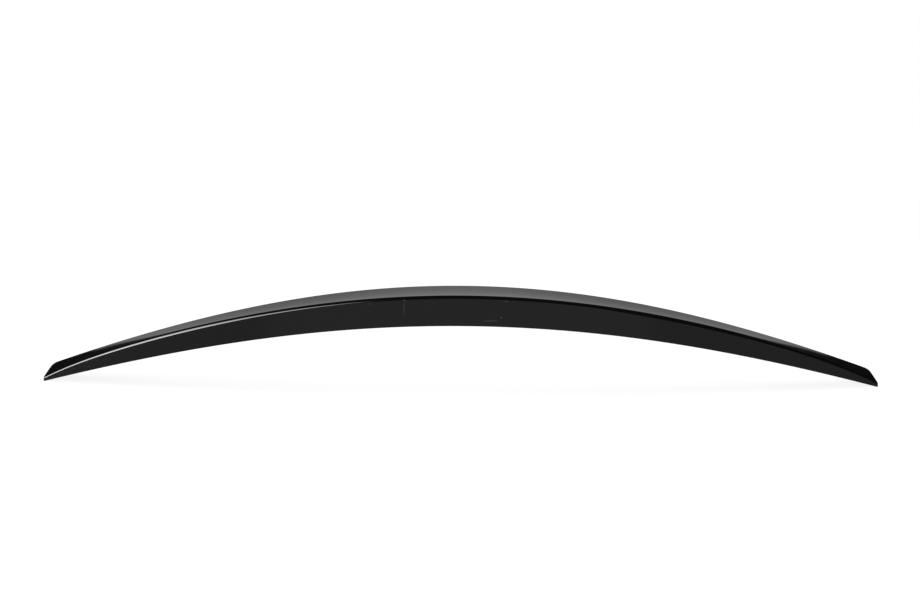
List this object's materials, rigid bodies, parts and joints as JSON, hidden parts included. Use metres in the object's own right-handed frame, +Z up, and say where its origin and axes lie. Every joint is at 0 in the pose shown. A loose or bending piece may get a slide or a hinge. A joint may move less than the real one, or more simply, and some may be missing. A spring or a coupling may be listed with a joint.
{
  "type": "car rear spoiler",
  "caption": "Arched lip spoiler moulded in gloss black plastic for a boot lid's rear edge, with a sharp ridge, tapered tips and a ribbed open underside.",
  "frame": {"origin": "middle of the front bonding land on the underside, on the plane of symmetry", "axes": "+X across the car, to the right seen from behind, +Y towards the front of the car, +Z up"},
  "size_m": [1.199, 0.1198, 0.1509],
  "materials": {
    "gloss_black": "high gloss"
  },
  "bodies": {
    "root": {"spoiler_shell": "gloss_black"}
  },
  "joints": []
}
